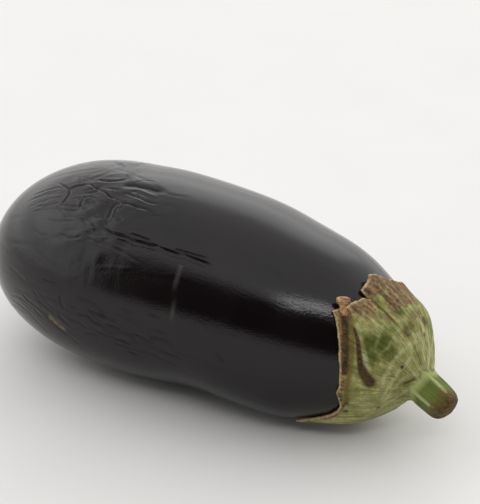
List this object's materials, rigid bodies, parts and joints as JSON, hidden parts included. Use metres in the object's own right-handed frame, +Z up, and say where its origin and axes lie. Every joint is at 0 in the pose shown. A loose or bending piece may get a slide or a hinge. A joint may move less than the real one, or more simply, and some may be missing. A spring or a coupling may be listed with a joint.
{
  "type": "eggplant",
  "caption": "Whole dark-skinned eggplant lying on its side, with wrinkled glossy skin, a torn green calyx and a short cut stem.",
  "frame": {"origin": "middle of the flat spot on the belly that the fruit rests on", "axes": "+X along the fruit towards the stem, +Z up, away from the surface it lies on"},
  "size_m": [0.201, 0.0829, 0.0819],
  "materials": {
    "skin": "glossy waxy skin, nearly black, with fine wrinkles",
    "calyx": "matt leathery green with pale veins and dry brown edges",
    "stem": "matt ridged green with a corky brown cut end"
  },
  "bodies": {
    "root": {"fruit": "skin", "calyx": "calyx", "stem": "stem"}
  },
  "joints": []
}
